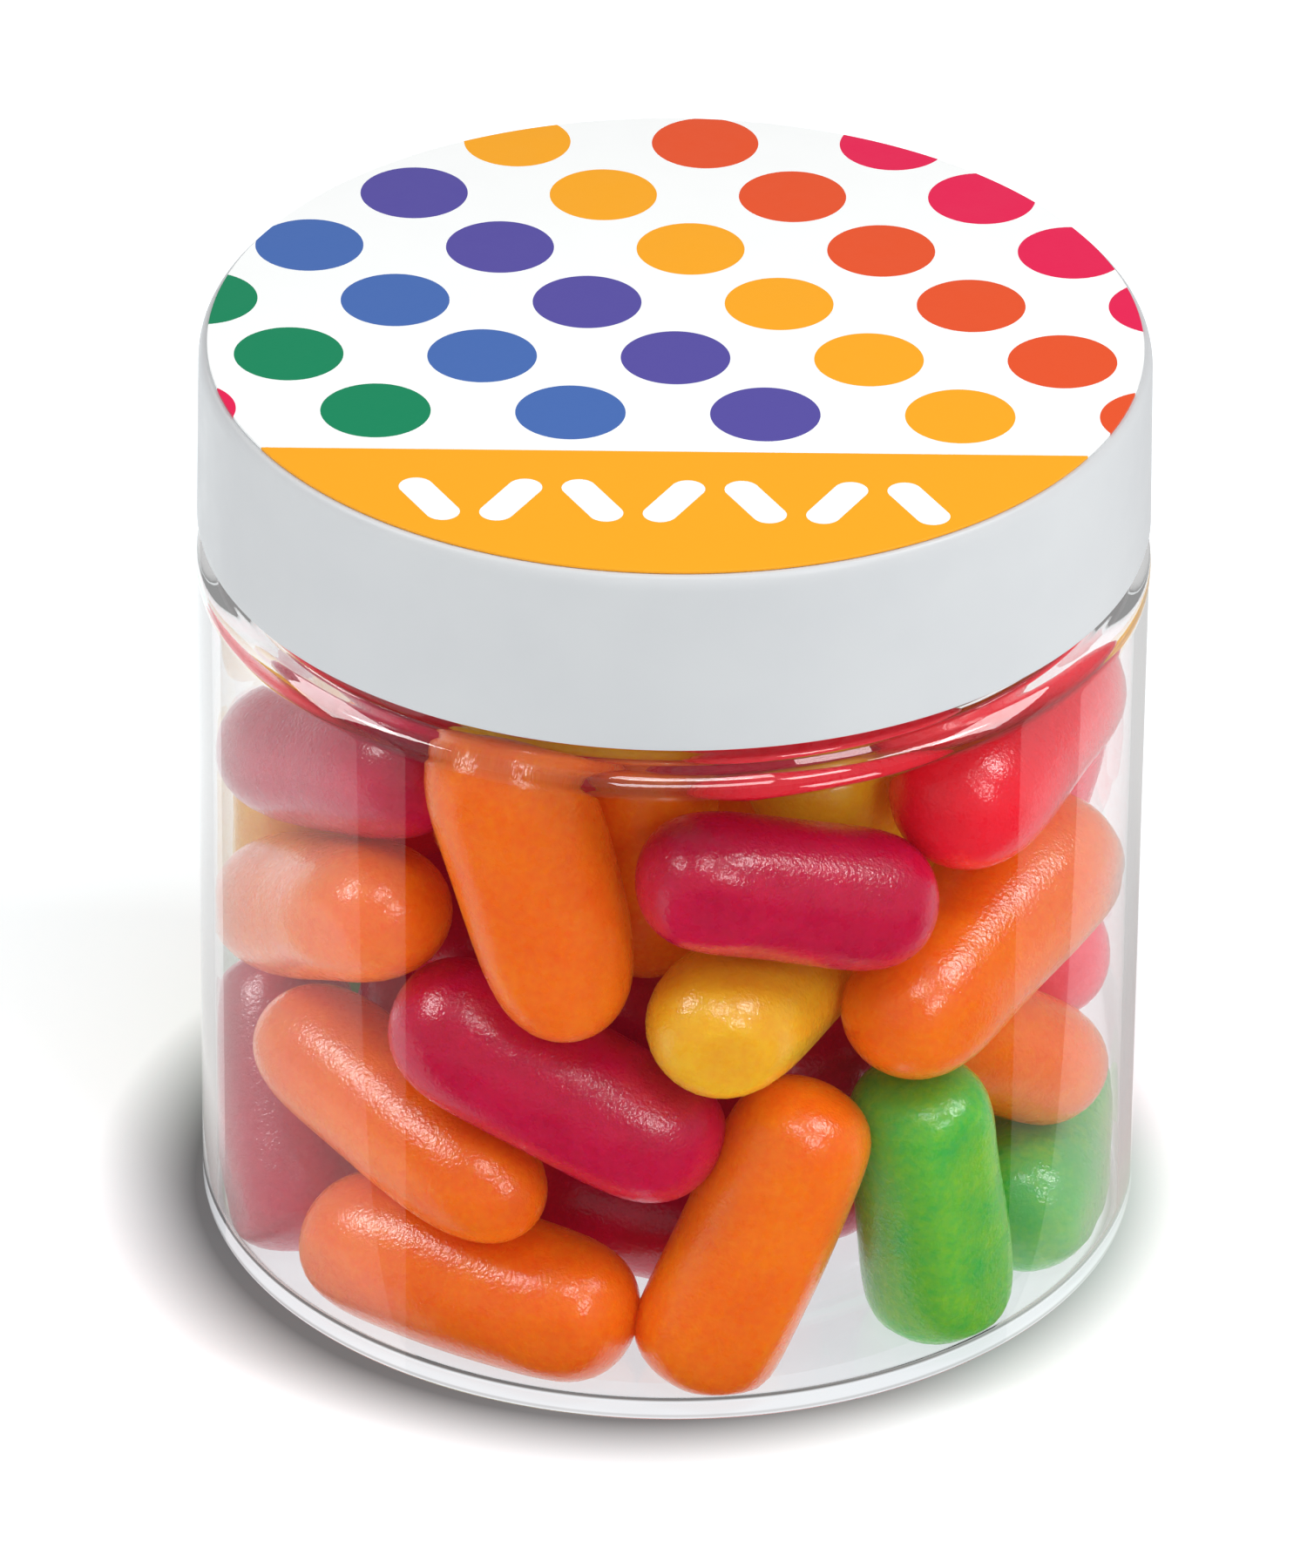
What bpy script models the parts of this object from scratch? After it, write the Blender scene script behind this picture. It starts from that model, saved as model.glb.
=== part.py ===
"""A clear screw-top jar filled with capsule-shaped fruit sweets.

Four pieces, each a solid of its own: the blown plastic jar with its threaded
neck, the plain white cap, the round printed disc stuck on the cap, and the
heap of sweets, which is one solid out to its lumpy outline. The jar stands on
its foot ring. The origin is at the middle of the foot, +Z goes up through the
cap. Units are metres.
"""

import math

import bmesh
import bpy
import numpy as np

MM = 0.001

# Overall sizes of the jar and its cap.
BODY_RADIUS = 32.6 * MM
CAP_RADIUS = 32.5 * MM
OVERALL_HEIGHT = 66.4 * MM
CAP_BOTTOM = 53.1 * MM
SEGMENTS = 64

# Jar: wall, foot, shoulder and neck.
WALL = 1.0 * MM
FOOT_RADIUS = 32.0 * MM
FOOT_CORNER = BODY_RADIUS - FOOT_RADIUS
FOOT_INNER = 28.4 * MM
FLOOR_THICKNESS = 0.8 * MM
FLOOR_CORNER = 1.2 * MM
KICK_OUTER = 23.0 * MM
KICK_INNER = 22.0 * MM
KICK_SLOPE = 0.3 * MM
KICK_HEIGHT = 0.9 * MM
KICK_CROWN = 1.1 * MM
SHOULDER_TOP = 51.0 * MM
SHOULDER_CORNER = 1.1 * MM
NECK_RADIUS = 30.5 * MM
NECK_WALL = 1.3 * MM
NECK_FILLET = 0.4 * MM
LIP_TOP = 64.6 * MM
LIP_CORNER = 0.45 * MM
ARC_STEPS = 4

# Thread: one and a quarter turns of a low ridge round the neck.
THREAD_HEIGHT = 0.65 * MM
THREAD_ROOT = 0.35 * MM
THREAD_HALF_ROOT = 0.9 * MM
THREAD_HALF_CREST = 0.3 * MM
THREAD_PITCH = 4.0 * MM
THREAD_TURNS = 1.25
THREAD_START = 56.6 * MM
THREAD_FADE = math.radians(35.0)

# Cap: plain side with a slight draft, a flat top and a soft upper edge.
CAP_TOP_RADIUS = 32.3 * MM
CAP_EDGE = 0.5 * MM
CAP_PLATE = 1.2 * MM
CAP_SKIRT = 1.0 * MM
CAP_RIM_CHAMFER = 0.2 * MM
LABEL_RADIUS = 31.7 * MM
LABEL_THICKNESS = 0.15 * MM
LABEL_GAP = 0.1 * MM
CAP_TOP = OVERALL_HEIGHT - LABEL_THICKNESS - LABEL_GAP

# Heap: a barrel-shaped envelope just inside the jar, dented between sweets.
SWEET_RADIUS = 5.0 * MM
SWEET_HALF_AXIS = 5.4 * MM
HEAP_GAP = 0.45 * MM
HEAP_TOP = 59.8 * MM
HEAP_CORNER = 4.5 * MM
HEAP_WAIST = 2.4 * MM
HEAP_DENT = 3.4 * MM
HEAP_STEP = 3.1 * MM
SWEET_FOOTPRINT = 176.0 * MM * MM
HEAP_SEED = 7


def clear_scene():
    """Remove whatever the opened file holds."""
    for item in list(bpy.data.objects):
        bpy.data.objects.remove(item, do_unlink=True)


def plain_material(name, colour, roughness, transmission=0.0, ior=1.5):
    """Give a new Principled material of one colour."""
    material = bpy.data.materials.new(name)
    material.use_nodes = True
    material.diffuse_color = (*colour, 1.0)
    shader = material.node_tree.nodes["Principled BSDF"]
    shader.inputs["Base Color"].default_value = (*colour, 1.0)
    shader.inputs["Roughness"].default_value = roughness
    shader.inputs["Metallic"].default_value = 0.0
    shader.inputs["Transmission Weight"].default_value = transmission
    shader.inputs["IOR"].default_value = ior
    return material


def arc(centre_r, centre_z, radius, start, end, steps=ARC_STEPS):
    """List the points of an arc in the (r, z) plane, angles in degrees from +r."""
    angles = [math.radians(start + (end - start) * i / steps) for i in range(steps + 1)]
    return [(centre_r + radius * math.cos(a), centre_z + radius * math.sin(a)) for a in angles]


def object_from_bmesh(name, bm, material, smooth_angle=35.0):
    """Turn a bmesh into a shaded, named object with its material."""
    mesh = bpy.data.meshes.new(name)
    bm.to_mesh(mesh)
    bm.free()
    mesh.materials.append(material)
    mesh.shade_smooth()
    mesh.set_sharp_from_angle(angle=math.radians(smooth_angle))
    item = bpy.data.objects.new(name, mesh)
    bpy.context.scene.collection.objects.link(item)
    return item


def turned_bmesh(profile):
    """Spin an (r, z) profile, from axis to axis, once round Z into a closed skin."""
    bm = bmesh.new()
    chain = [bm.verts.new((r, 0.0, z)) for r, z in profile]
    for first, second in zip(chain, chain[1:]):
        bm.edges.new((first, second))
    bmesh.ops.spin(
        bm,
        geom=bm.verts[:] + bm.edges[:],
        cent=(0.0, 0.0, 0.0),
        axis=(0.0, 0.0, 1.0),
        angle=2.0 * math.pi,
        steps=SEGMENTS,
        use_merge=True,
    )
    bmesh.ops.remove_doubles(bm, verts=bm.verts[:], dist=0.01 * MM)
    bmesh.ops.recalc_face_normals(bm, faces=bm.faces[:])
    return bm


def skin_rings(bm, rings):
    """Join rings of equally many points by quads and close both ends by a fan."""
    loops = [[bm.verts.new(point) for point in ring] for ring in rings]
    count = len(loops[0])
    for low, high in zip(loops, loops[1:]):
        for i in range(count):
            j = (i + 1) % count
            bm.faces.new((low[i], low[j], high[j], high[i]))
    for ring, centre in ((loops[0], rings[0]), (loops[-1], rings[-1])):
        tip = bm.verts.new(tuple(np.mean(np.array(centre), axis=0)))
        for i in range(count):
            bm.faces.new((ring[i], ring[(i + 1) % count], tip))
    bmesh.ops.recalc_face_normals(bm, faces=bm.faces[:])


def jar_profile():
    """Outline of the jar, from the middle of its underside round to its floor."""
    kick = [(0.0, KICK_CROWN), (KICK_INNER, KICK_HEIGHT), (KICK_OUTER, KICK_SLOPE)]
    outside = kick + [(FOOT_INNER, 0.0)]
    outside += arc(FOOT_RADIUS, FOOT_CORNER, FOOT_CORNER, -90.0, 0.0)
    outside += arc(
        BODY_RADIUS - SHOULDER_CORNER, SHOULDER_TOP - SHOULDER_CORNER, SHOULDER_CORNER, 0.0, 90.0
    )
    fillet_r = NECK_RADIUS + NECK_FILLET
    outside += arc(fillet_r, SHOULDER_TOP + NECK_FILLET, NECK_FILLET, 270.0, 180.0, 2)
    outside += arc(NECK_RADIUS - LIP_CORNER, LIP_TOP - LIP_CORNER, LIP_CORNER, 0.0, 90.0, 2)
    bore = NECK_RADIUS - NECK_WALL
    inner = BODY_RADIUS - WALL
    inside = arc(bore + LIP_CORNER, LIP_TOP - LIP_CORNER, LIP_CORNER, 90.0, 180.0, 2)
    under_shoulder = SHOULDER_TOP - WALL
    inside += [(bore, under_shoulder + NECK_WALL)]
    inside += arc(
        inner - SHOULDER_CORNER, under_shoulder - SHOULDER_CORNER, SHOULDER_CORNER, 60.0, 0.0, 3
    )
    inside += arc(inner - FLOOR_CORNER, FLOOR_THICKNESS + FLOOR_CORNER, FLOOR_CORNER, 0.0, -90.0)
    inside += [(r, z + FLOOR_THICKNESS) for r, z in reversed(kick)]
    return outside + inside


def thread_bmesh():
    """A ridge of trapezoid section along a helix, sinking into the neck at its ends."""
    steps = int(SEGMENTS * THREAD_TURNS)
    sweep = 2.0 * math.pi * THREAD_TURNS
    root = NECK_RADIUS - THREAD_ROOT
    rings = []
    for i in range(steps + 1):
        turn = sweep * i / steps
        fade = min(1.0, turn / THREAD_FADE, (sweep - turn) / THREAD_FADE)
        crest = NECK_RADIUS - 0.5 * THREAD_ROOT + (THREAD_HEIGHT + 0.5 * THREAD_ROOT) * fade
        height = THREAD_START + THREAD_PITCH * turn / (2.0 * math.pi)
        section = (
            (root, -THREAD_HALF_ROOT),
            (crest, -THREAD_HALF_CREST),
            (crest, THREAD_HALF_CREST),
            (root, THREAD_HALF_ROOT),
        )
        rings.append([(r * math.cos(turn), r * math.sin(turn), height + dz) for r, dz in section])
    bm = bmesh.new()
    skin_rings(bm, rings)
    return bm


def build_jar(material):
    """Make the jar with its thread joined on."""
    jar = object_from_bmesh("jar", turned_bmesh(jar_profile()), material)
    thread = object_from_bmesh("thread_guide", thread_bmesh(), material)
    thread.hide_render = True
    thread.display_type = "WIRE"
    union = jar.modifiers.new("thread", "BOOLEAN")
    union.operation = "UNION"
    union.object = thread
    return jar


def cap_profile():
    """Outline of the cap, from the middle of its top down the side and up inside."""
    outside = [(0.0, CAP_TOP)]
    outside += arc(CAP_TOP_RADIUS - CAP_EDGE, CAP_TOP - CAP_EDGE, CAP_EDGE, 90.0, 0.0)
    outside += [
        (CAP_RADIUS, CAP_BOTTOM + CAP_RIM_CHAMFER),
        (CAP_RADIUS - CAP_RIM_CHAMFER, CAP_BOTTOM),
    ]
    inner = CAP_RADIUS - CAP_SKIRT
    inside = [
        (inner, CAP_BOTTOM),
        (inner, CAP_TOP - CAP_PLATE - CAP_EDGE),
        (inner - CAP_EDGE, CAP_TOP - CAP_PLATE),
        (0.0, CAP_TOP - CAP_PLATE),
    ]
    return outside + inside


def build_cap(material):
    """Make the screw cap."""
    return object_from_bmesh("lid", turned_bmesh(cap_profile()), material)


def build_label(material):
    """Make the thin round disc on top of the cap."""
    bottom = CAP_TOP + LABEL_GAP
    profile = [
        (0.0, bottom + LABEL_THICKNESS),
        (LABEL_RADIUS, bottom + LABEL_THICKNESS),
        (LABEL_RADIUS, bottom),
        (0.0, bottom),
    ]
    return object_from_bmesh("label", turned_bmesh(profile), material)


def heap_outline():
    """Sample the smooth (r, z) envelope of the heap at even steps along its length.

    It runs from the middle of the floor, out round the lower corner, up the
    wall, in past the shoulder to the neck's bore and over the rounded top.
    """
    wide = BODY_RADIUS - WALL - HEAP_GAP
    narrow = NECK_RADIUS - NECK_WALL - HEAP_GAP
    floor = FLOOR_THICKNESS + KICK_SLOPE + HEAP_GAP
    under_shoulder = SHOULDER_TOP - WALL
    corner = HEAP_CORNER
    path = [(0.0, FLOOR_THICKNESS + KICK_CROWN + HEAP_GAP)]
    path += [(KICK_INNER, FLOOR_THICKNESS + KICK_HEIGHT + HEAP_GAP), (KICK_OUTER + HEAP_GAP, floor)]
    path += arc(wide - corner, floor + corner, corner, -90.0, 0.0)
    path += [(wide, under_shoulder - HEAP_WAIST), (narrow, under_shoulder)]
    path += arc(narrow - corner, HEAP_TOP - corner, corner, 0.0, 90.0)
    path += [(0.0, HEAP_TOP)]
    points = np.array(path)
    lengths = np.concatenate(([0.0], np.cumsum(np.hypot(*np.diff(points, axis=0).T))))
    count = int(round(lengths[-1] / HEAP_STEP))
    stations = np.linspace(0.0, lengths[-1], count + 1)
    radius = np.interp(stations, lengths, points[:, 0])
    height = np.interp(stations, lengths, points[:, 1])
    return radius, height


def outline_normals(radius, height):
    """Outward normals of the envelope in the (r, z) plane."""
    along_r = np.gradient(radius)
    along_z = np.gradient(height)
    length = np.hypot(along_r, along_z)
    return along_z / length, -along_r / length


def sweet_axes(radius, height, normal_r, normal_z):
    """Lay sweets evenly over the envelope, on a golden-angle spiral, each turned its own way.

    Each sweet's axis lies one sweet radius under the surface. The result is
    the two end points of every axis.
    """
    dice = np.random.default_rng(HEAP_SEED)
    step = np.hypot(np.diff(radius), np.diff(height))
    ring_area = 2.0 * math.pi * 0.5 * (radius[1:] + radius[:-1]) * step
    area = np.concatenate(([0.0], np.cumsum(ring_area)))
    count = int(area[-1] / SWEET_FOOTPRINT)
    where = area[-1] * (np.arange(count) + 0.5) / count
    r, z = np.interp(where, area, radius), np.interp(where, area, height)
    n_r, n_z = np.interp(where, area, normal_r), np.interp(where, area, normal_z)
    golden = math.pi * (3.0 - math.sqrt(5.0))
    theta = golden * np.arange(count)
    tilt = dice.uniform(0.0, math.pi, count)
    around = np.stack([-np.sin(theta), np.cos(theta), np.zeros(count)], axis=1)
    outward = np.stack([n_r * np.cos(theta), n_r * np.sin(theta), n_z], axis=1)
    along = np.cross(outward, around)
    lie = np.cos(tilt)[:, None] * around + np.sin(tilt)[:, None] * along
    centre = np.stack([r * np.cos(theta), r * np.sin(theta), z], axis=1) - SWEET_RADIUS * outward
    return centre - SWEET_HALF_AXIS * lie, centre + SWEET_HALF_AXIS * lie


def nearest_axis_distance(points, starts, ends):
    """Distance from every point to the nearest of the segments."""
    span = ends - starts
    offset = points[:, None, :] - starts[None, :, :]
    share = np.clip((offset * span).sum(axis=2) / (span * span).sum(axis=1), 0.0, 1.0)
    return np.linalg.norm(offset - share[..., None] * span, axis=2).min(axis=1)


def heap_rings():
    """Rings of the heap's skin: the envelope, pressed in between the sweets."""
    radius, height = heap_outline()
    normal_r, normal_z = outline_normals(radius, height)
    starts, ends = sweet_axes(radius, height, normal_r, normal_z)
    theta = 2.0 * math.pi * np.arange(SEGMENTS) / SEGMENTS
    rings = []
    for r, z, n_r, n_z in list(zip(radius, height, normal_r, normal_z))[1:-1]:
        outward = np.stack([n_r * np.cos(theta), n_r * np.sin(theta), np.full(SEGMENTS, n_z)], axis=1)
        surface = np.stack([r * np.cos(theta), r * np.sin(theta), np.full(SEGMENTS, z)], axis=1)
        gap = nearest_axis_distance(surface - SWEET_RADIUS * outward, starts, ends)
        dent = SWEET_RADIUS - np.sqrt(np.maximum(SWEET_RADIUS**2 - gap**2, 0.0))
        rings.append(surface - np.minimum(dent, HEAP_DENT)[:, None] * outward)
    return rings


def build_heap(material):
    """Make the heap of sweets as one closed solid."""
    bm = bmesh.new()
    skin_rings(bm, [[tuple(point) for point in ring] for ring in heap_rings()])
    return object_from_bmesh("sweets", bm, material, smooth_angle=60.0)


def main():
    """Build the four pieces."""
    clear_scene()
    build_jar(plain_material("clear_plastic", (0.93, 0.95, 0.96), 0.04, transmission=1.0, ior=1.57))
    build_cap(plain_material("white_plastic", (0.82, 0.84, 0.85), 0.38))
    build_label(plain_material("printed_film", (0.95, 0.42, 0.02), 0.45))
    build_heap(plain_material("fruit_sweet", (0.80, 0.11, 0.02), 0.25))


main()
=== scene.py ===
"""Looks of a clear screw-top jar of capsule-shaped fruit sweets.

The jar, its cap, the printed disc and the heap of sweets are built round the
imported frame. Lengths of the jar, the cap, the disc and the sweets are in
millimetres and are turned into metres when a mesh is made; the studio's are in
metres. The front of the jar is its -Y side.
"""

import logging
import math
from dataclasses import dataclass
from enum import Enum

import bpy
import numpy as np
from mathutils import Matrix, Vector

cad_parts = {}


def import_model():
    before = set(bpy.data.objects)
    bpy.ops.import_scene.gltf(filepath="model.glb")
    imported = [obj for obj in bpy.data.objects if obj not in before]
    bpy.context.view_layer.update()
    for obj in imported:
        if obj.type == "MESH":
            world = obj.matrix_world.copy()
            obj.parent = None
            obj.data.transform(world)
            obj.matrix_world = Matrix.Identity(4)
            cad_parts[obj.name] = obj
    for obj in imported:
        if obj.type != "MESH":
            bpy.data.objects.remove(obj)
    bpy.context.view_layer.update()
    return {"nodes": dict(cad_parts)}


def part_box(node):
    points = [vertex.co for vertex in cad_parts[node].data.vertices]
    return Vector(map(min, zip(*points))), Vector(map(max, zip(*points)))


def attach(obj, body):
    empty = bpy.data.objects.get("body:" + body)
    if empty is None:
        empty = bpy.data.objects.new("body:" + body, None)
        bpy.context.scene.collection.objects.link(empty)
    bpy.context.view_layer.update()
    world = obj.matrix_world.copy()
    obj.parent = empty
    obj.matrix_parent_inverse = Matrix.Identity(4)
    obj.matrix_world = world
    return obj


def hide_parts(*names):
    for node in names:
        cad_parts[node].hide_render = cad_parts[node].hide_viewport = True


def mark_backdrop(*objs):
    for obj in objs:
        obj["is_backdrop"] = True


MM = 0.001
ROOT = "root"
LOG = logging.getLogger("sweet_jar")

Colour = tuple[float, float, float]
Place = tuple[float, float, float]
Profile = list[tuple[float, float]]


class Flavour(Enum):
    """The sweets' flavours. Each value is the name of its material slot."""

    ORANGE = "sweet_orange"
    CHERRY = "sweet_cherry"
    RED = "sweet_red"
    PINK = "sweet_pink"
    LEMON = "sweet_lemon"
    LIME = "sweet_lime"


# ---------------------------------------------------------------- mesh helpers


def arc(centre_r: float, centre_z: float, radius: float, start: float, end: float, steps: int = 10) -> Profile:
    """List the points of an arc in the (r, z) plane.

    Each point is the centre plus radius times (cos a, sin a), with a going
    evenly from start to end.

    Args:
        centre_r: distance of the centre from the jar's axis.
        centre_z: height of the centre.
        radius: radius of the arc.
        start: first angle in degrees, counted from +r towards +z.
        end: last angle in degrees.
        steps: number of equal steps.

    Returns:
        The points from start to end.
    """
    angles = np.radians(np.linspace(start, end, steps + 1))
    return list(zip(centre_r + radius * np.cos(angles), centre_z + radius * np.sin(angles)))


def with_supports(profile: Profile, reach: float = 0.25) -> Profile:
    """Add a point near each end of every long straight run.

    The extra points keep the smooth shading of a small arc from bleeding over
    the long flat next to it.

    Args:
        profile: (r, z) points.
        reach: distance of the added points from the ends of the run.

    Returns:
        The profile with its supports.
    """
    points = [profile[0]]
    for (r0, z0), (r1, z1) in zip(profile, profile[1:]):
        length = math.hypot(r1 - r0, z1 - z0)
        if length > 3.0 * reach:
            share = reach / length
            points.append((r0 + (r1 - r0) * share, z0 + (z1 - z0) * share))
            points.append((r1 - (r1 - r0) * share, z1 - (z1 - z0) * share))
        points.append((r1, z1))
    return points


def piece(name: str, vertices: np.ndarray, quads: np.ndarray, tris: np.ndarray, sharp: float) -> bpy.types.Object:
    """Make a smooth-shaded object from whole arrays.

    Args:
        name: name of the object and its mesh.
        vertices: (n, 3) points in metres.
        quads: (m, 4) vertex numbers.
        tris: (k, 3) vertex numbers.
        sharp: angle in degrees past which an edge is left sharp.

    Returns:
        The new object, at the origin.
    """
    mesh = bpy.data.meshes.new(name)
    mesh.vertices.add(len(vertices))
    mesh.vertices.foreach_set("co", vertices.astype(np.float32).ravel())
    corners = np.concatenate([quads.ravel(), tris.ravel()])
    sizes = np.concatenate([np.full(len(quads), 4), np.full(len(tris), 3)])
    mesh.loops.add(len(corners))
    mesh.loops.foreach_set("vertex_index", corners.astype(np.int32))
    mesh.polygons.add(len(sizes))
    mesh.polygons.foreach_set("loop_start", np.concatenate([[0], np.cumsum(sizes)[:-1]]).astype(np.int32))
    mesh.update(calc_edges=True)
    mesh.validate()
    mesh.shade_smooth()
    mesh.set_sharp_from_angle(angle=math.radians(sharp))
    item = bpy.data.objects.new(name, mesh)
    bpy.context.scene.collection.objects.link(item)
    return item


def closed_tube(rings: np.ndarray, first: np.ndarray, last: np.ndarray) -> tuple[np.ndarray, np.ndarray, np.ndarray]:
    """Join rings of points into one closed skin with a point at each end.

    Ring i and ring i + 1 are joined by quads all round; the first and the last
    ring close on their end points by triangles. The faces point outwards when
    the rings turn anticlockwise seen from the last end.

    Args:
        rings: (rows, columns, 3) points.
        first: the (3,) point that closes the first ring.
        last: the (3,) point that closes the last ring.

    Returns:
        Vertices, quads and triangles.
    """
    rows, columns = rings.shape[:2]
    number = np.arange(rows * columns).reshape(rows, columns)
    beside = np.roll(number, -1, axis=1)
    quads = np.stack([number[:-1], beside[:-1], beside[1:], number[1:]], axis=-1).reshape(-1, 4)
    low, high = rows * columns, rows * columns + 1
    start = np.stack([beside[0], number[0], np.full(columns, low)], axis=-1)
    end = np.stack([number[-1], beside[-1], np.full(columns, high)], axis=-1)
    vertices = np.concatenate([rings.reshape(-1, 3), [first, last]])
    return vertices, quads, np.concatenate([start, end])


def turned(profile: Profile, columns: int) -> np.ndarray:
    """Turn a profile round the jar's axis.

    The point of row i and column j is (r cos t, r sin t, z), with t = 2 pi j /
    columns.

    Args:
        profile: (r, z) points in millimetres, without the two on the axis.
        columns: number of points round the axis.

    Returns:
        (rows, columns, 3) points in metres.
    """
    turn = 2.0 * np.pi * np.arange(columns) / columns
    radius, height = np.array(profile).T * MM
    around = np.stack([np.cos(turn), np.sin(turn)], axis=-1)
    flat = radius[:, None, None] * around[None]
    return np.concatenate([flat, np.broadcast_to(height[:, None, None], (len(radius), columns, 1))], axis=-1)


# ------------------------------------------------------------- shader helpers


class NodeSheet:
    """A node tree with short calls that add and link nodes."""

    def __init__(self, tree: bpy.types.NodeTree) -> None:
        """Keep the tree to draw on."""
        self.tree = tree

    def add(self, kind: str, **settings: object) -> bpy.types.Node:
        """Add a node.

        Args:
            kind: Blender's name for the kind of node.
            settings: properties to set on it, by name.

        Returns:
            The node.
        """
        node = self.tree.nodes.new(kind)
        for name, value in settings.items():
            setattr(node, name, value)
        return node

    def feed(self, socket: bpy.types.NodeSocket, value: object) -> None:
        """Give an input either a link or a plain value.

        Args:
            socket: the input.
            value: an output to link from, a value to set, or None for neither.
        """
        if isinstance(value, bpy.types.NodeSocket):
            self.tree.links.new(value, socket)
        elif value is not None:
            socket.default_value = value

    def maths(self, operation: str, *values: object) -> bpy.types.NodeSocket:
        """Add a Math node.

        Args:
            operation: Blender's name for the sum to work out.
            values: outputs or numbers, one for each input.

        Returns:
            The node's result.
        """
        node = self.add("ShaderNodeMath", operation=operation)
        for socket, value in zip(node.inputs, values):
            self.feed(socket, value)
        return node.outputs[0]

    def mix(self, share: object, first: object, second: object) -> bpy.types.NodeSocket:
        """Mix two colours: first times (1 - share) plus second times share.

        Args:
            share: an output or a number from 0 to 1.
            first: an output or a colour, all of it where the share is 0.
            second: an output or a colour, all of it where the share is 1.

        Returns:
            The mixed colour.
        """
        node = self.add("ShaderNodeMix", data_type="RGBA")
        self.feed(node.inputs["Factor"], share)
        for socket, value in zip((node.inputs[6], node.inputs[7]), (first, second)):
            self.feed(socket, (*value, 1.0) if isinstance(value, tuple) else value)
        return node.outputs[2]

    def group(self, tree: bpy.types.NodeTree, **values: object) -> bpy.types.Node:
        """Place a node group and feed its inputs.

        Args:
            tree: the group.
            values: outputs or numbers by input name, with _ for a space.

        Returns:
            The group's node.
        """
        node = self.add("ShaderNodeGroup", node_tree=tree)
        for name, value in values.items():
            self.feed(node.inputs[name.replace("_", " ")], value)
        return node


def new_group(name: str, inputs: dict[str, str], outputs: dict[str, str]) -> tuple[NodeSheet, dict, dict]:
    """Start a shader node group with named sockets.

    Args:
        name: name of the group.
        inputs: socket type of every input, by name.
        outputs: socket type of every output, by name.

    Returns:
        The sheet, the group's input sockets and its output sockets, by name.
    """
    tree = bpy.data.node_groups.new(name, "ShaderNodeTree")
    for label, kind in inputs.items():
        tree.interface.new_socket(name=label, in_out="INPUT", socket_type=kind)
    for label, kind in outputs.items():
        tree.interface.new_socket(name=label, in_out="OUTPUT", socket_type=kind)
    sheet = NodeSheet(tree)
    source, target = sheet.add("NodeGroupInput"), sheet.add("NodeGroupOutput")
    return sheet, {s.name: s for s in source.outputs if s.name}, {s.name: s for s in target.inputs if s.name}


class SharedEffects:
    """The two surface effects that several finishes use."""

    def __init__(self) -> None:
        """Build both node groups."""
        self.mottle = self._mottle()
        self.skin = self._skin()

    def _mottle(self) -> bpy.types.NodeTree:
        """Soft patches: the middle band of a noise, spread evenly from Low to High.

        Returns:
            The group, with inputs Vector, Scale, Low and High and output Value.
        """
        sheet, given, result = new_group(
            "soft_mottle",
            {"Vector": "NodeSocketVector"} | dict.fromkeys(("Scale", "Low", "High"), "NodeSocketFloat"),
            {"Value": "NodeSocketFloat"},
        )
        noise = sheet.add("ShaderNodeTexNoise")
        noise.inputs["Detail"].default_value = 3.0
        sheet.feed(noise.inputs["Vector"], given["Vector"])
        sheet.feed(noise.inputs["Scale"], given["Scale"])
        spread = sheet.add("ShaderNodeMapRange")
        spread.inputs["From Min"].default_value = 0.32
        spread.inputs["From Max"].default_value = 0.68
        sheet.feed(spread.inputs["Value"], noise.outputs["Fac"])
        sheet.feed(spread.inputs["To Min"], given["Low"])
        sheet.feed(spread.inputs["To Max"], given["High"])
        sheet.feed(result["Value"], spread.outputs["Result"])
        return sheet.tree

    def _skin(self) -> bpy.types.NodeTree:
        """Fine uneven skin: a fine noise plus 1.2 times a broad one, as a bump.

        Returns:
            The group, with inputs Vector, Fine Scale, Broad Scale and Depth and
            output Normal.
        """
        sheet, given, result = new_group(
            "uneven_skin",
            {"Vector": "NodeSocketVector"} | dict.fromkeys(("Fine Scale", "Broad Scale", "Depth"), "NodeSocketFloat"),
            {"Normal": "NodeSocketVector"},
        )
        fine, broad = sheet.add("ShaderNodeTexNoise"), sheet.add("ShaderNodeTexNoise")
        for noise, scale in ((fine, "Fine Scale"), (broad, "Broad Scale")):
            noise.inputs["Detail"].default_value = 2.0
            sheet.feed(noise.inputs["Vector"], given["Vector"])
            sheet.feed(noise.inputs["Scale"], given[scale])
        both = sheet.maths("MULTIPLY_ADD", broad.outputs["Fac"], 1.2, fine.outputs["Fac"])
        bump = sheet.add("ShaderNodeBump")
        bump.inputs["Strength"].default_value = 1.0
        sheet.feed(bump.inputs["Distance"], given["Depth"])
        sheet.feed(bump.inputs["Height"], both)
        sheet.feed(result["Normal"], bump.outputs["Normal"])
        return sheet.tree


def new_material(name: str) -> tuple[bpy.types.Material, NodeSheet, bpy.types.Node, bpy.types.NodeSocket]:
    """Start a Principled material.

    Args:
        name: name of the material.

    Returns:
        The material, its sheet, its Principled node and its Object coordinates.
    """
    material = bpy.data.materials.new(name)
    material.use_nodes = True
    sheet = NodeSheet(material.node_tree)
    place = sheet.add("ShaderNodeTexCoord").outputs["Object"]
    return material, sheet, material.node_tree.nodes["Principled BSDF"], place


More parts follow.
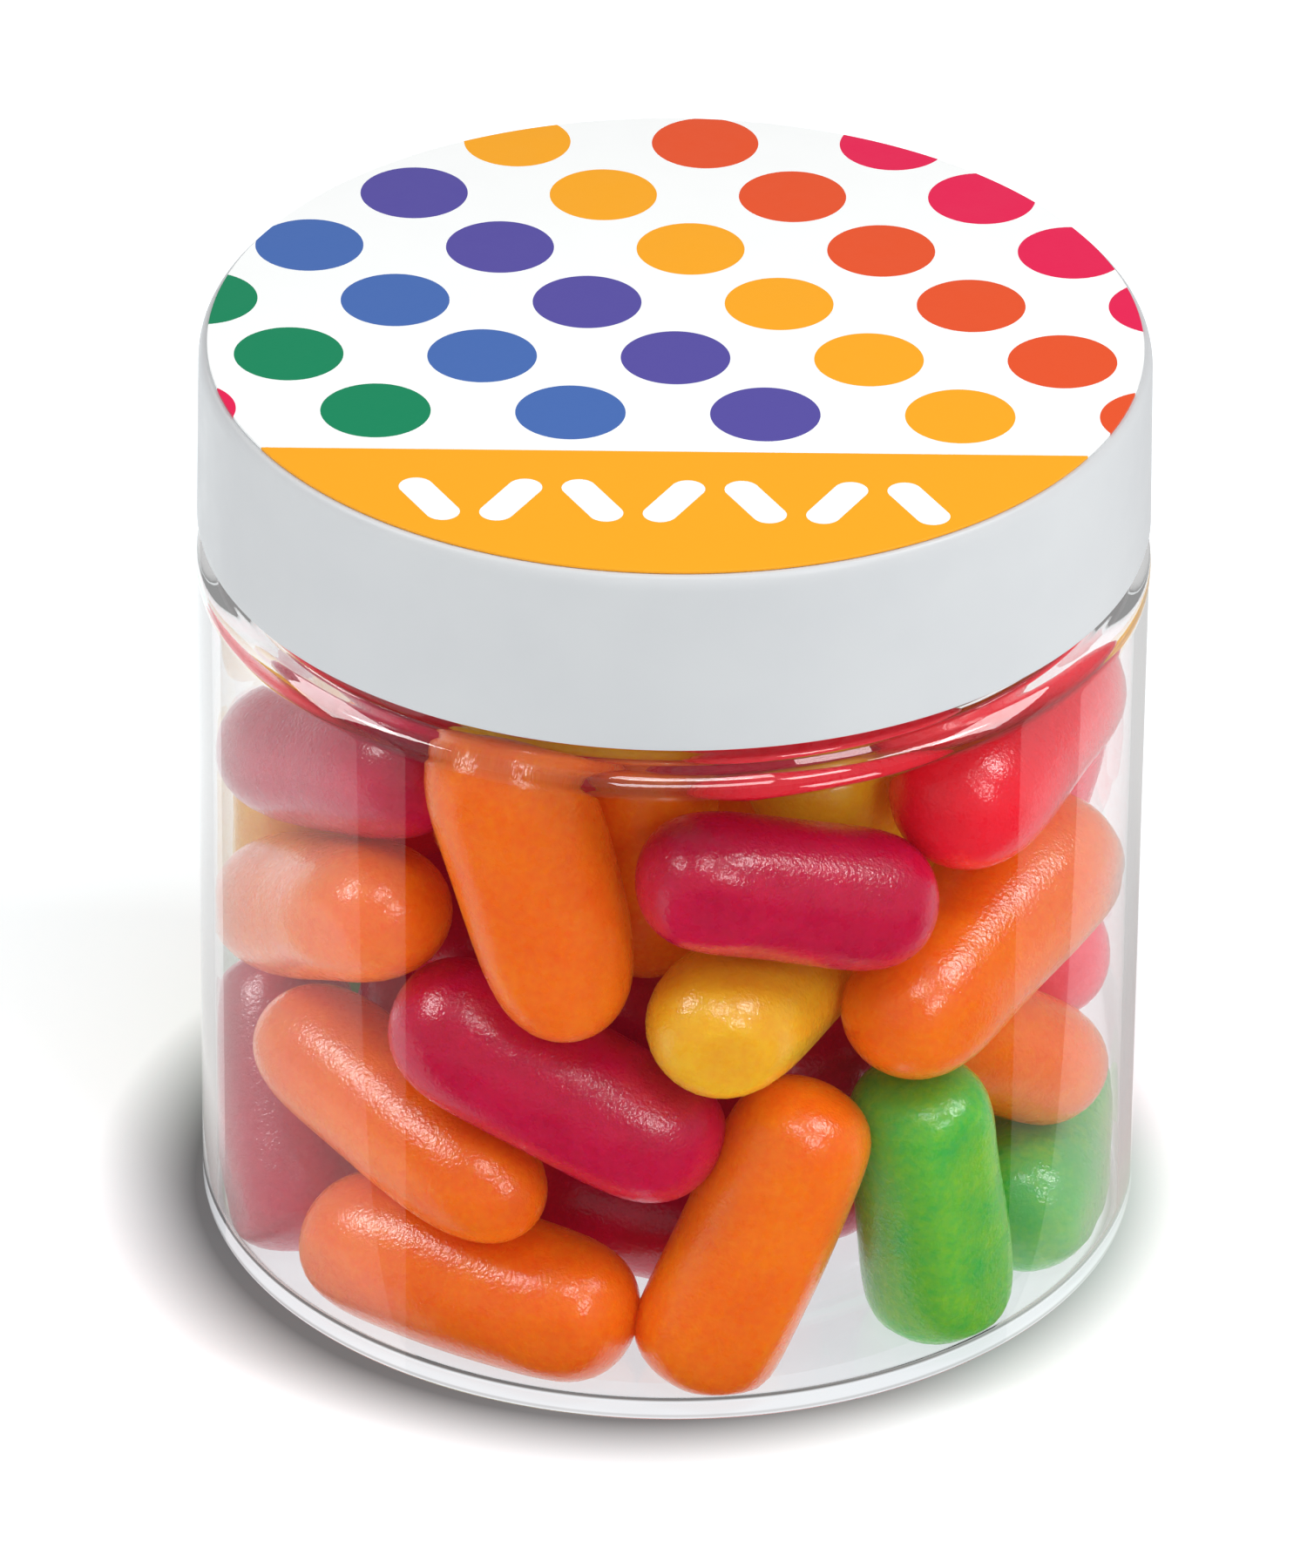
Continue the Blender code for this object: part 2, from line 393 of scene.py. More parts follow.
@dataclass(frozen=True)
class ClearPlastic:
    """Polished clear plastic of the jar."""

    colour: Colour = (0.985, 0.99, 0.99)
    roughness: float = 0.0
    ior: float = 1.52

    def build(self, effects: SharedEffects) -> bpy.types.Material:
        """Make the material: clear, with a faint ripple from the mould.

        Args:
            effects: the shared node groups.

        Returns:
            The material.
        """
        material, sheet, shader, place = new_material("clear_plastic")
        shader.inputs["Base Color"].default_value = (*self.colour, 1.0)
        shader.inputs["Roughness"].default_value = self.roughness
        shader.inputs["IOR"].default_value = self.ior
        shader.inputs["Metallic"].default_value = 0.0
        shader.inputs["Transmission Weight"].default_value = 1.0
        skin = sheet.group(effects.skin, Vector=place, Fine_Scale=60.0, Broad_Scale=25.0, Depth=0.00002)
        sheet.feed(shader.inputs["Normal"], skin.outputs["Normal"])
        return material


@dataclass(frozen=True)
class WhitePlastic:
    """Satin white plastic of the cap."""

    colour: Colour = (0.645, 0.655, 0.665)
    shade: Colour = (0.615, 0.625, 0.64)
    ior: float = 1.5

    def build(self, effects: SharedEffects) -> bpy.types.Material:
        """Make the material: slight clouding in colour and sheen, fine grain.

        Args:
            effects: the shared node groups.

        Returns:
            The material.
        """
        material, sheet, shader, place = new_material("white_plastic")
        cloud = sheet.group(effects.mottle, Vector=place, Scale=90.0, Low=0.0, High=1.0)
        sheet.feed(shader.inputs["Base Color"], sheet.mix(cloud.outputs["Value"], self.colour, self.shade))
        sheen = sheet.group(effects.mottle, Vector=place, Scale=400.0, Low=0.34, High=0.44)
        sheet.feed(shader.inputs["Roughness"], sheen.outputs["Value"])
        shader.inputs["IOR"].default_value = self.ior
        skin = sheet.group(effects.skin, Vector=place, Fine_Scale=5000.0, Broad_Scale=300.0, Depth=0.000004)
        sheet.feed(shader.inputs["Normal"], skin.outputs["Normal"])
        return material


@dataclass(frozen=True)
class DottedPrint:
    """Print of the disc: staggered dots in six colours over a plain band.

    Lengths are in millimetres. Dot columns are column apart along X; each row
    up is rise further along Y and moves slip along X.
    """

    paper: Colour = (0.96, 0.975, 0.97)
    band: Colour = (0.947, 0.392, 0.010)
    inks: tuple[Colour, ...] = (
        (0.090, 0.072, 0.350),
        (0.947, 0.392, 0.010),
        (0.791, 0.084, 0.018),
        (0.791, 0.009, 0.082),
        (0.002, 0.235, 0.102),
        (0.058, 0.144, 0.440),
    )
    column: float = 13.05
    rise: float = 7.7
    slip: float = -6.05
    first_x: float = 0.0
    first_y: float = -2.8
    dot_radius: float = 3.7
    first_row: int = -1
    band_edge: float = -15.7
    bean_pitch: float = 5.4
    bean_row: float = -22.4
    bean_half: float = 1.9
    bean_radius: float = 1.15
    bean_tilt: float = 0.5
    bean_cells: float = 3.5

    def build(self, effects: SharedEffects) -> bpy.types.Material:
        """Make the material: dots by their lattice, then the band with its row of beans.

        Args:
            effects: the shared node groups.

        Returns:
            The material.
        """
        material, sheet, shader, place = new_material("dotted_print")
        axes = sheet.add("ShaderNodeSeparateXYZ")
        sheet.feed(axes.inputs[0], place)
        across = sheet.maths("DIVIDE", axes.outputs["X"], MM)
        up = sheet.maths("DIVIDE", axes.outputs["Y"], MM)
        colour = sheet.mix(self._dot_mask(sheet, across, up), self.paper, self._ink(sheet, across, up))
        in_band = sheet.maths("LESS_THAN", up, self.band_edge)
        colour = sheet.mix(in_band, colour, sheet.mix(self._bean_mask(sheet, across, up), self.band, self.paper))
        sheet.feed(shader.inputs["Base Color"], colour)
        sheen = sheet.group(effects.mottle, Vector=place, Scale=300.0, Low=0.36, High=0.46)
        sheet.feed(shader.inputs["Roughness"], sheen.outputs["Value"])
        shader.inputs["IOR"].default_value = 1.36
        skin = sheet.group(effects.skin, Vector=place, Fine_Scale=4000.0, Broad_Scale=120.0, Depth=0.000004)
        sheet.feed(shader.inputs["Normal"], skin.outputs["Normal"])
        return material

    def _cell(self, sheet: NodeSheet, across: object, up: object) -> tuple[object, object, object]:
        """Find the nearest point of the dot lattice.

        The row is up, less the first row, over the rise, rounded. Moved is
        across with the row's slip taken off, and the column is moved over the
        spacing of the columns, rounded.

        Args:
            sheet: the material's sheet.
            across: distance along X in millimetres.
            up: distance along Y in millimetres.

        Returns:
            The row's number, moved, and the column's number.
        """
        row = sheet.maths("ROUND", sheet.maths("DIVIDE", sheet.maths("SUBTRACT", up, self.first_y), self.rise))
        moved = sheet.maths("MULTIPLY_ADD", row, -self.slip, sheet.maths("SUBTRACT", across, self.first_x))
        return row, moved, sheet.maths("ROUND", sheet.maths("DIVIDE", moved, self.column))

    def _dot_mask(self, sheet: NodeSheet, across: object, up: object) -> object:
        """Mask the dots: inside one, the nearest lattice point is nearer than a dot's radius.

        Args:
            sheet: the material's sheet.
            across: distance along X in millimetres.
            up: distance along Y in millimetres.

        Returns:
            One inside a dot of a printed row, zero elsewhere.
        """
        row, moved, column = self._cell(sheet, across, up)
        off_x = sheet.maths("MULTIPLY_ADD", column, -self.column, moved)
        off_y = sheet.maths("MULTIPLY_ADD", row, -self.rise, sheet.maths("SUBTRACT", up, self.first_y))
        square = sheet.maths("MULTIPLY_ADD", off_x, off_x, sheet.maths("MULTIPLY", off_y, off_y))
        printed = sheet.maths("GREATER_THAN", row, self.first_row - 0.5)
        return sheet.maths("MULTIPLY", printed, sheet.maths("LESS_THAN", square, self.dot_radius**2))

    def _ink(self, sheet: NodeSheet, across: object, up: object) -> object:
        """Choose the ink of the nearest dot: its column number, counted round the six inks.

        Args:
            sheet: the material's sheet.
            across: distance along X in millimetres.
            up: distance along Y in millimetres.

        Returns:
            The ink's colour.
        """
        column = self._cell(sheet, across, up)[2]
        turn = sheet.maths("FLOORED_MODULO", sheet.maths("ADD", column, 0.5), float(len(self.inks)))
        ramp = sheet.add("ShaderNodeValToRGB")
        ramp.color_ramp.interpolation = "CONSTANT"
        stops = ramp.color_ramp.elements
        while len(stops) < len(self.inks):
            stops.new(1.0)
        for number, ink in enumerate(self.inks):
            stops[number].position = number / len(self.inks)
            stops[number].color = (*ink, 1.0)
        sheet.feed(ramp.inputs["Fac"], sheet.maths("DIVIDE", turn, float(len(self.inks))))
        return ramp.outputs["Color"]

    def _bean_mask(self, sheet: NodeSheet, across: object, up: object) -> object:
        """Mask a row of small beans that lean left and right in turn.

        Within a cell, the bean is all that lies nearer than its radius to a
        short slanting line through the cell's middle.

        Args:
            sheet: the material's sheet.
            across: distance along X in millimetres.
            up: distance along Y in millimetres.

        Returns:
            One inside a bean, zero elsewhere.
        """
        share = sheet.maths("DIVIDE", across, self.bean_pitch)
        cell = sheet.maths("ROUND", share)
        side = sheet.maths("MULTIPLY", sheet.maths("SUBTRACT", share, cell), self.bean_pitch)
        lift = sheet.maths("SUBTRACT", up, self.bean_row)
        odd = sheet.maths("FLOORED_MODULO", cell, 2.0)
        lean = sheet.maths("MULTIPLY_ADD", odd, 2.0 * self.bean_tilt, -self.bean_tilt)
        cosine, sine = sheet.maths("COSINE", lean), sheet.maths("SINE", lean)
        along = sheet.maths("SUBTRACT", sheet.maths("MULTIPLY", lift, cosine), sheet.maths("MULTIPLY", side, sine))
        apart = sheet.maths("MULTIPLY_ADD", side, cosine, sheet.maths("MULTIPLY", lift, sine))
        beyond = sheet.maths("MAXIMUM", sheet.maths("SUBTRACT", sheet.maths("ABSOLUTE", along), self.bean_half), 0.0)
        square = sheet.maths("MULTIPLY_ADD", beyond, beyond, sheet.maths("MULTIPLY", apart, apart))
        inside = sheet.maths("LESS_THAN", square, self.bean_radius**2)
        spread = sheet.maths("LESS_THAN", sheet.maths("ABSOLUTE", cell), self.bean_cells)
        return sheet.maths("MULTIPLY", inside, spread)


@dataclass(frozen=True)
class SweetShell:
    """Glossy translucent sugar shell of one flavour.

    light and deep are the two ends that a flavour's sweets vary between.
    """

    flavour: Flavour
    light: Colour
    deep: Colour
    glow: Colour
    painted_glow_strength: float = 0.07

    def build(self, effects: SharedEffects) -> bpy.types.Material:
        """Make the material: tinted, mottled, with a faint painted glow for light passing through the heap, and a
        pitted gloss.

        The share of the deep colour is the sweet's own tint plus a broad and a
        fine mottle, kept between 0 and 1.

        Args:
            effects: the shared node groups.

        Returns:
            The material.
        """
        material, sheet, shader, place = new_material(self.flavour.value)
        tint = sheet.add("ShaderNodeAttribute", attribute_name="tint").outputs["Fac"]
        patch = sheet.group(effects.mottle, Vector=place, Scale=240.0, Low=-0.28, High=0.28).outputs["Value"]
        grain = sheet.group(effects.mottle, Vector=place, Scale=1900.0, Low=-0.22, High=0.22).outputs["Value"]
        share = sheet.add("ShaderNodeMath", operation="ADD", use_clamp=True)
        sheet.feed(share.inputs[0], tint)
        sheet.feed(share.inputs[1], sheet.maths("ADD", patch, grain))
        colour = sheet.mix(share.outputs[0], self.light, self.deep)
        sheet.feed(shader.inputs["Base Color"], colour)
        gloss = sheet.group(effects.mottle, Vector=place, Scale=900.0, Low=0.22, High=0.36)
        sheet.feed(shader.inputs["Roughness"], gloss.outputs["Value"])
        shader.inputs["IOR"].default_value = 1.5
        shader.inputs["Specular IOR Level"].default_value = 0.3
        shader.inputs["Subsurface Weight"].default_value = 0.85
        shader.inputs["Subsurface Radius"].default_value = self.glow
        shader.inputs["Subsurface Scale"].default_value = 0.006
        shader.inputs["Coat Weight"].default_value = 0.7
        shader.inputs["Coat Roughness"].default_value = 0.16
        shader.inputs["Coat IOR"].default_value = 1.6
        shader.inputs["Sheen Weight"].default_value = 0.08
        shader.inputs["Sheen Roughness"].default_value = 0.35
        shader.inputs["Sheen Tint"].default_value = (*self.glow, 1.0)
        # Painted glow: each sweet gives off a little of its own colour, standing in for light passing through the
        # heap.
        sheet.feed(shader.inputs["Emission Color"], colour)
        shader.inputs["Emission Strength"].default_value = self.painted_glow_strength
        skin = sheet.group(effects.skin, Vector=place, Fine_Scale=3900.0, Broad_Scale=420.0, Depth=0.00005)
        sheet.feed(shader.inputs["Normal"], skin.outputs["Normal"])
        sheet.feed(shader.inputs["Coat Normal"], skin.outputs["Normal"])
        return material


SWEET_SHELLS = (
    SweetShell(Flavour.ORANGE, (0.90, 0.205, 0.003), (0.85, 0.128, 0.004), (1.0, 0.35, 0.1)),
    SweetShell(Flavour.CHERRY, (0.56, 0.002, 0.054), (0.44, 0.001, 0.038), (1.0, 0.1, 0.15)),
    SweetShell(Flavour.RED, (0.92, 0.014, 0.036), (0.82, 0.010, 0.030), (1.0, 0.15, 0.15)),
    SweetShell(Flavour.PINK, (0.95, 0.080, 0.130), (0.90, 0.045, 0.100), (1.0, 0.3, 0.3)),
    SweetShell(Flavour.LEMON, (0.82, 0.450, 0.016), (0.78, 0.335, 0.010), (1.0, 0.8, 0.2)),
    SweetShell(Flavour.LIME, (0.255, 0.520, 0.028), (0.060, 0.420, 0.070), (0.4, 1.0, 0.2)),
)


# --------------------------------------------------------------------- pieces


@dataclass
class JarShell:
    """The blown jar: foot, straight wall, shoulder, and neck with its thread."""

    body_radius: float
    lip_top: float
    wall: float = 1.0
    foot_radius: float = 32.0
    foot_inner: float = 28.4
    floor_thickness: float = 0.8
    floor_corner: float = 1.2
    kick_outer: float = 23.0
    kick_inner: float = 22.0
    kick_slope: float = 0.3
    kick_height: float = 0.9
    kick_crown: float = 1.1
    shoulder_top: float = 51.0
    shoulder_corner: float = 1.1
    neck_radius: float = 30.5
    neck_wall: float = 1.3
    neck_fillet: float = 0.4
    lip_corner: float = 0.45
    thread_height: float = 0.6
    thread_half: float = 0.9
    thread_pitch: float = 4.0
    thread_turns: float = 1.25
    thread_start: float = 56.6
    thread_fade: float = 0.6
    thread_row: float = 0.25
    columns: int = 240

    @classmethod
    def from_frame(cls) -> "JarShell":
        """Take the jar's outer radius and lip height from the frame."""
        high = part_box("jar")[1]
        return cls(body_radius=high.x / MM, lip_top=high.z / MM)

    @property
    def inner_radius(self) -> float:
        """Radius of the space inside the body."""
        return self.body_radius - self.wall

    @property
    def bore(self) -> float:
        """Radius of the neck's bore."""
        return self.neck_radius - self.neck_wall

    def floor_at(self, reach: np.ndarray) -> np.ndarray:
        """Find the height of the floor's upper side.

        The floor climbs in straight lines from its rounded corner to the
        push-up. Over the corner it rises by c - sqrt(c^2 - x^2), with c the
        corner's radius and x the distance past the corner's start.

        Args:
            reach: distances from the axis.

        Returns:
            The floor's height at each distance.
        """
        start = self.inner_radius - self.floor_corner
        stops = (0.0, self.kick_inner, self.kick_outer, self.foot_inner)
        rises = (self.kick_crown, self.kick_height, self.kick_slope, 0.0)
        past = np.clip(reach - start, 0.0, self.floor_corner)
        corner = self.floor_corner - np.sqrt(self.floor_corner**2 - past**2)
        return self.floor_thickness + np.interp(reach, stops, rises) + corner

    def _neck_rows(self) -> Profile:
        """List rows up the outside of the neck, near enough together to carry the thread.

        Returns:
            Points at the neck's radius, evenly spaced between fillet and lip.
        """
        top = self.lip_top - self.lip_corner
        bottom = self.shoulder_top + self.neck_fillet
        count = int((top - bottom) / self.thread_row)
        return [(self.neck_radius, z) for z in np.linspace(bottom, top, count + 1)[1:-1]]

    def profile(self) -> Profile:
        """Draw the jar's outline with straight lines and arcs.

        Returns:
            Points from under the middle, up outside and down inside to the floor.
        """
        corner = self.body_radius - self.foot_radius
        kick = [(self.kick_inner, self.kick_height), (self.kick_outer, self.kick_slope)]
        outside = kick + [(self.foot_inner, 0.0)]
        outside += arc(self.foot_radius, corner, corner, -90.0, 0.0)
        shoulder = self.shoulder_corner
        outside += arc(self.body_radius - shoulder, self.shoulder_top - shoulder, shoulder, 0.0, 90.0)
        fillet = self.neck_fillet
        outside += arc(self.neck_radius + fillet, self.shoulder_top + fillet, fillet, 270.0, 180.0, 6)
        outside += self._neck_rows()
        lip = self.lip_corner
        outside += arc(self.neck_radius - lip, self.lip_top - lip, lip, 0.0, 90.0, 6)
        inside = arc(self.bore + lip, self.lip_top - lip, lip, 90.0, 180.0, 6)
        under = self.shoulder_top - self.wall
        inside += arc(self.bore + fillet, under + self.neck_wall + fillet, fillet, 180.0, 240.0, 4)
        inside += arc(self.inner_radius - shoulder, under - shoulder, shoulder, 60.0, 0.0, 8)
        floor = self.floor_corner
        inside += arc(self.inner_radius - floor, self.floor_thickness + floor, floor, 0.0, -90.0, 12)
        inside += [(r, z + self.floor_thickness) for r, z in reversed(kick)]
        return with_supports(outside + inside)

    def _thread(self, rings: np.ndarray) -> np.ndarray:
        """Raise the thread on the neck's outer rows.

        The ridge's height at turn t and height z falls in a cosine hump from
        its crest, which climbs one pitch for each full turn, and fades out at
        the thread's two ends.

        Args:
            rings: the turned outline, in metres.

        Returns:
            The same points, with those of the ridge moved outwards.
        """
        radius = np.hypot(rings[..., 0], rings[..., 1]) / MM
        height = rings[..., 2] / MM
        on_neck = (radius > self.neck_radius - 0.01) & (height > self.shoulder_top + self.neck_fillet)
        on_neck &= radius < self.neck_radius + 0.01
        turn = np.arctan2(rings[..., 1], rings[..., 0]) % (2.0 * np.pi)
        lift = np.zeros_like(radius)
        for lap in range(math.ceil(self.thread_turns)):
            along = turn + 2.0 * np.pi * lap
            sweep = 2.0 * np.pi * self.thread_turns
            fade = np.clip(np.minimum(along, sweep - along) / self.thread_fade, 0.0, 1.0)
            crest = self.thread_start + self.thread_pitch * along / (2.0 * np.pi)
            away = np.clip(np.abs(height - crest) / self.thread_half, 0.0, 1.0)
            lift = np.maximum(lift, fade * 0.5 * (1.0 + np.cos(np.pi * away)))
        scale = np.where(on_neck, 1.0 + self.thread_height * lift / self.neck_radius, 1.0)
        return rings * np.stack([scale, scale, np.ones_like(scale)], axis=-1)

    def build(self, finish: bpy.types.Material) -> bpy.types.Object:
        """Make the jar and let light reach the sweets through its wall.

        Args:
            finish: the clear plastic.

        Returns:
            The jar's piece.
        """
        rings = self._thread(turned(self.profile(), self.columns))
        under = np.array([0.0, 0.0, self.kick_crown * MM])
        floor = np.array([0.0, 0.0, (self.kick_crown + self.floor_thickness) * MM])
        vertices, quads, tris = closed_tube(rings, under, floor)
        jar = piece("clear_jar", vertices, quads, tris, 40.0)
        jar.data.materials.append(finish)
        jar.visible_shadow = False
        jar.visible_diffuse = False
        jar.visible_glossy = False
        return jar


@dataclass
class ScrewCap:
    """The plain white cap."""

    radius: float
    bottom: float
    top: float
    top_radius: float = 32.3
    edge: float = 0.5
    edge_drop: float = 1.2
    plate: float = 1.2
    skirt: float = 1.0
    rim: float = 0.2
    columns: int = 240

    @classmethod
    def from_frame(cls) -> "ScrewCap":
        """Take the cap's outer sizes from the frame."""
        low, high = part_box("lid")
        return cls(radius=high.x / MM, bottom=low.z / MM, top=high.z / MM)

    def profile(self) -> Profile:
        """Draw the cap's outline with straight lines and arcs.

        Each point of the upper edge's arc is stretched down to the drop's full
        height, so the edge is softer than it is wide.

        Returns:
            Points from the inside, down round the rim and up over to the top.
        """
        inner = self.radius - self.skirt
        under = self.top - self.plate
        inside = [(inner - self.edge, under), (inner, under - self.edge), (inner, self.bottom)]
        outside = arc(self.radius - self.rim, self.bottom + self.rim, self.rim, -90.0, 0.0, 4)
        shoulder = arc(self.top_radius - self.edge, 0.0, self.edge, 0.0, 90.0)
        outside += [(r, self.top - self.edge_drop * (1.0 - z / self.edge)) for r, z in shoulder]
        return with_supports(inside + outside)

    def build(self, finish: bpy.types.Material) -> bpy.types.Object:
        """Make the cap.

        Args:
            finish: the white plastic.

        Returns:
            The cap's piece.
        """
        rings = turned(self.profile(), self.columns)
        under = np.array([0.0, 0.0, (self.top - self.plate) * MM])
        over = np.array([0.0, 0.0, self.top * MM])
        vertices, quads, tris = closed_tube(rings, under, over)
        cap = piece("screw_cap", vertices, quads, tris, 40.0)
        cap.data.materials.append(finish)
        return cap


@dataclass
class PrintedDisc:
    """The round printed film stuck on the cap."""

    radius: float
    top: float
    cap_top: float
    lift: float = 0.02
    edge: float = 0.05
    columns: int = 240

    @classmethod
    def from_frame(cls) -> "PrintedDisc":
        """Take the disc's size from the frame, and its place from the cap's top."""
        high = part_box("label")[1]
        return cls(radius=high.x / MM, top=high.z / MM, cap_top=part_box("lid")[1].z / MM)

    def build(self, finish: bpy.types.Material) -> bpy.types.Object:
        """Make the disc, a thin turned plate with a soft edge.

        Args:
            finish: the print.

        Returns:
            The disc's piece.
        """
        bottom = self.cap_top + self.lift
        profile = [(self.radius - self.edge, bottom), (self.radius, bottom + self.edge)]
        profile += arc(self.radius - self.edge, self.top - self.edge, self.edge, 0.0, 90.0, 4)
        rings = turned(with_supports(profile), self.columns)
        middle = np.array([0.0, 0.0, bottom * MM]), np.array([0.0, 0.0, self.top * MM])
        vertices, quads, tris = closed_tube(rings, *middle)
        disc = piece("printed_disc", vertices, quads, tris, 40.0)
        disc.data.materials.append(finish)
        return disc


@dataclass(frozen=True)
class LaidSweet:
    """Where and how one sweet of the front row is laid.

    Each end is the middle of the sweet's rounded end: degrees round the jar
    from the front towards +X, height, and distance from the jar's axis. Blunt
    squares the ends off, bow bends the sweet, taper thickens one end, and tint
    runs from the flavour's light colour to its deep one.
    """

    flavour: Flavour
    one: Place
    other: Place
    girth: float = 10.0
    blunt: float = 5.0
    bow: float = 0.0
    taper: float = 0.0
    tint: float = 0.5


FRONT_ROW = (
    LaidSweet(Flavour.ORANGE, (-81.0, 24.5, 26.2), (-47.0, 32.0, 26.0), 10.6),
    LaidSweet(Flavour.CHERRY, (-80.0, 36.5, 26.2), (-44.0, 41.5, 24.5), 10.2),
    LaidSweet(Flavour.ORANGE, (-27.0, 44.5, 24.8), (-16.5, 32.0, 25.8), 11.2, 5.0, 0.0, -0.10),
    LaidSweet(Flavour.CHERRY, (5.5, 40.0, 26.0), (29.0, 36.5, 26.0), 10.2, 5.5),
    LaidSweet(Flavour.LEMON, (4.5, 29.5, 25.5), (29.0, 26.5, 16.0), 10.5),
    LaidSweet(Flavour.RED, (48.5, 42.0, 25.5), (79.0, 42.0, 26.0), 10.7),
    LaidSweet(Flavour.ORANGE, (38.5, 25.0, 26.0), (72.0, 29.0, 26.0), 10.9),
    LaidSweet(Flavour.CHERRY, (-31.5, 24.5, 24.5), (-3.0, 18.0, 24.5), 10.6, 5.0, 0.6),
    LaidSweet(Flavour.ORANGE, (-63.0, 17.0, 26.2), (-25.5, 14.0, 26.2), 9.5, 4.6, 0.0, -0.05),
    LaidSweet(Flavour.ORANGE, (-46.5, 5.1, 26.8), (-15.5, 4.9, 26.8), 10.7, 6.0),
    LaidSweet(Flavour.ORANGE, (16.0, 17.6, 25.2), (7.5, 4.9, 26.8), 10.4, 8.0, 0.0, 0.03),
    LaidSweet(Flavour.LIME, (39.0, 15.8, 26.2), (42.5, 4.7, 26.9), 10.5, 8.0),
    LaidSweet(Flavour.LIME, (66.0, 5.0, 26.9), (92.0, 5.3, 26.9), 9.8, 7.0, 0.0, 0.0, 0.95),
    LaidSweet(Flavour.ORANGE, (54.0, 19.5, 22.5), (71.0, 14.5, 25.9), 9.4),
    LaidSweet(Flavour.PINK, (93.0, 17.5, 26.2), (114.0, 15.0, 26.0), 9.6),
    LaidSweet(Flavour.PINK, (98.0, 36.0, 26.2), (107.0, 27.0, 26.0), 9.8),
    LaidSweet(Flavour.CHERRY, (-87.0, 12.5, 26.7), (-69.5, 5.0, 26.9), 10.2, 8.0),
    LaidSweet(Flavour.CHERRY, (-17.0, 8.0, 16.5), (23.0, 6.0, 17.0), 10.0),
    LaidSweet(Flavour.CHERRY, (10.0, 17.5, 14.5), (36.0, 18.5, 15.5), 10.0),
    LaidSweet(Flavour.CHERRY, (46.0, 6.0, 14.5), (80.0, 7.0, 16.0), 10.0),
    LaidSweet(Flavour.LIME, (-103.0, 6.5, 26.2), (-125.0, 13.0, 25.0), 9.8),
    LaidSweet(Flavour.LEMON, (-99.0, 31.0, 26.4), (-98.0, 20.0, 26.4), 9.8),
    LaidSweet(Flavour.RED, (-104.0, 42.5, 25.0), (-72.0, 48.0, 22.5), 9.8),
    LaidSweet(Flavour.ORANGE, (-3.0, 42.5, 19.0), (0.0, 31.5, 18.0), 9.8),
    LaidSweet(Flavour.RED, (14.0, 47.0, 20.5), (40.0, 47.0, 21.0), 9.8),
    LaidSweet(Flavour.LEMON, (-34.0, 48.5, 16.0), (-4.0, 48.5, 16.0), 9.6),
    LaidSweet(Flavour.LEMON, (36.0, 41.0, 18.0), (52.0, 34.0, 16.0), 9.8),
    LaidSweet(Flavour.CHERRY, (-64.0, 24.5, 17.0), (-42.0, 25.0, 17.0), 9.8),
    LaidSweet(Flavour.CHERRY, (-14.0, 23.5, 15.0), (-14.0, 24.0, 4.5), 9.8),
)

HEAP_MIX = (
    (Flavour.ORANGE, 8),
    (Flavour.CHERRY, 6),
    (Flavour.RED, 5),
    (Flavour.PINK, 5),
    (Flavour.LEMON, 6),
    (Flavour.LIME, 7),
)


